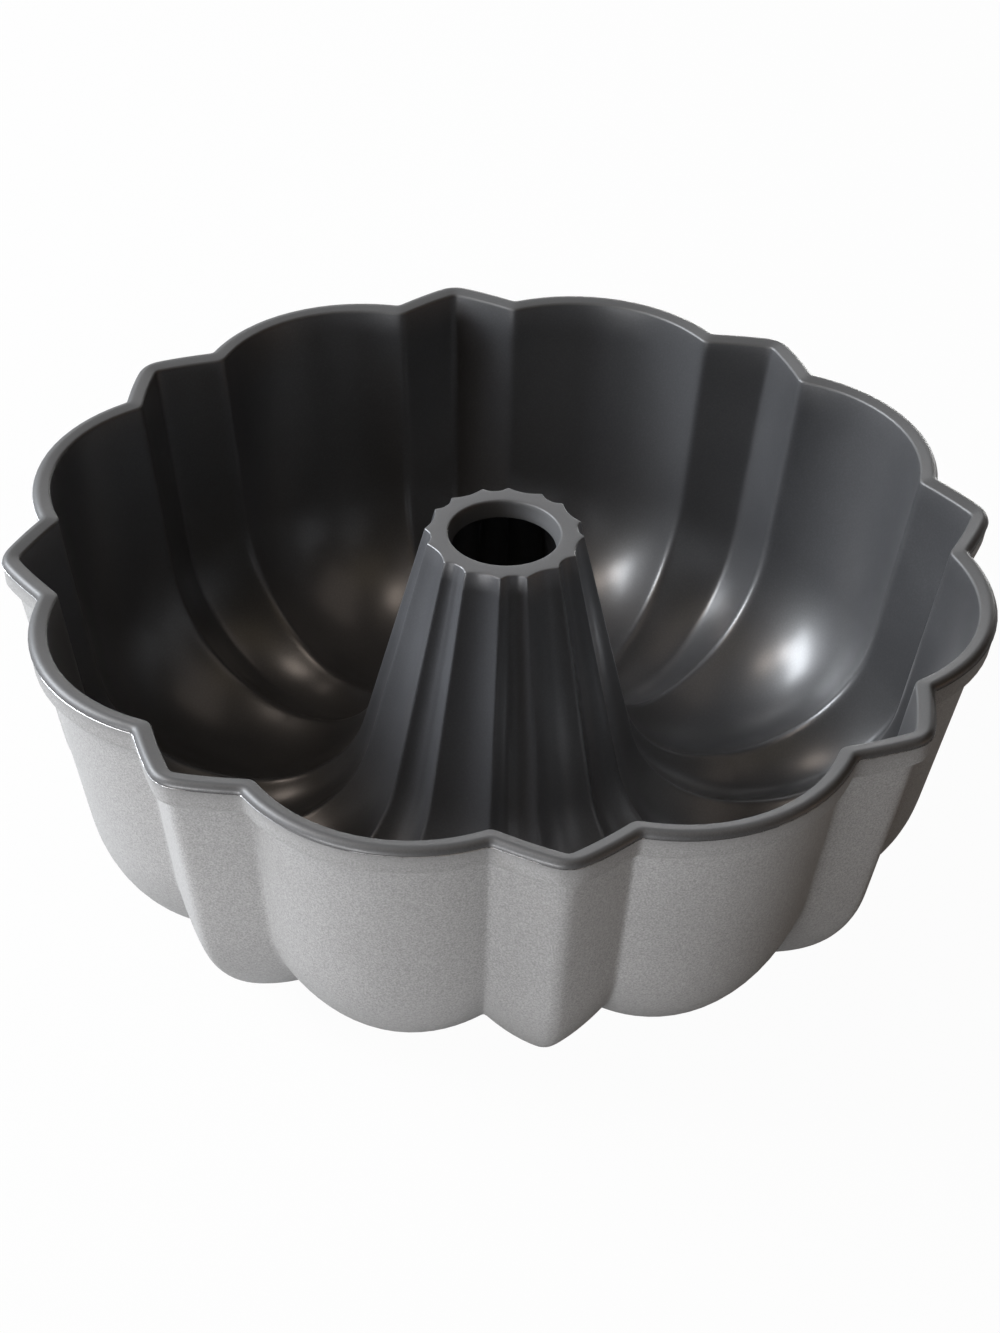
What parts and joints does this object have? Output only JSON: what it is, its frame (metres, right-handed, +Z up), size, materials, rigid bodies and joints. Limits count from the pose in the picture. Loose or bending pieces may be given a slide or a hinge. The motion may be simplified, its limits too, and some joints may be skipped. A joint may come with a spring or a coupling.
{
  "type": "fluted tube pan",
  "caption": "Cast ring-cake pan with round lobes and pointed ridges in turn, a tapered open centre tube level with the rim, a dark non-stick lining and a pale speckled outside.",
  "frame": {"origin": "on the axis of the tube, in the plane that the pan stands on", "axes": "+Z up along the axis of the tube; +X through the tip of a pointed ridge"},
  "size_m": [0.2586, 0.2586, 0.0938],
  "materials": {
    "cast_aluminium": "cast aluminium, covered by the two coats",
    "nonstick_coat": "satin charcoal non-stick coat",
    "sparkle_coat": "fine-grained pale grey coat with metallic sparkle"
  },
  "bodies": {
    "root": {"pan_casting": "cast_aluminium", "nonstick_lining": "nonstick_coat", "outer_coat": "sparkle_coat"}
  },
  "joints": []
}
